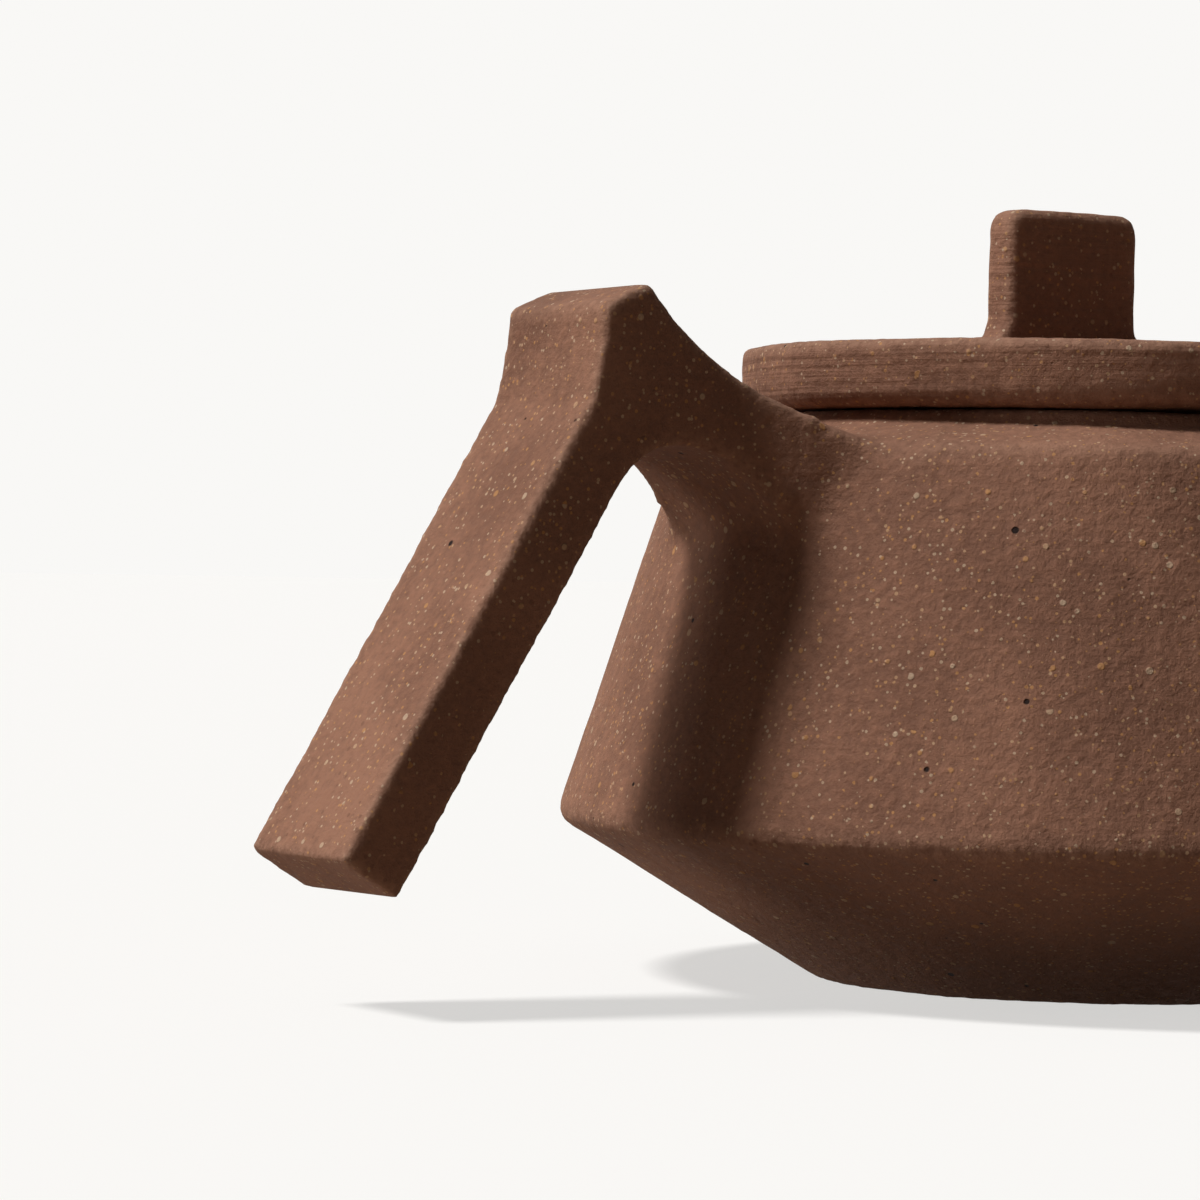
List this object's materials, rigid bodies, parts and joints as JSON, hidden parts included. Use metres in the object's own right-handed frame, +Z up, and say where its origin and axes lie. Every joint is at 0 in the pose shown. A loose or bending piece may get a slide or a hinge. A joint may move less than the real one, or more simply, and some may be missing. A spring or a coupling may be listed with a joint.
{
  "type": "back-handle teapot",
  "caption": "Small unglazed teapot with a slab handle opposite its spout, a pierced strainer inside and a flat disc lid with an upright knob.",
  "frame": {"origin": "centre of the flat base, on the surface the pot stands on", "axes": "+Z up along the pot's turning axis, +X towards the spout, the handle towards -X"},
  "size_m": [0.1849, 0.1194, 0.0881],
  "materials": {
    "pot_clay": "unglazed, matt, speckled",
    "handle_clay": "unglazed, matt, smoothed",
    "lid_clay": "unglazed, matt, speckled"
  },
  "bodies": {
    "pot": {"body": "pot_clay", "handle": "handle_clay", "spout": "pot_clay", "strainer": "pot_clay"},
    "lid": {"lid_disc": "lid_clay", "lid_flange": "lid_clay", "lid_knob": "lid_clay"}
  },
  "joints": [
    {"name": "lid_lift", "type": "slide", "parent": "pot", "child": "lid", "axis": [0, 0, 1], "range_m": [0, 0.04]}
  ]
}
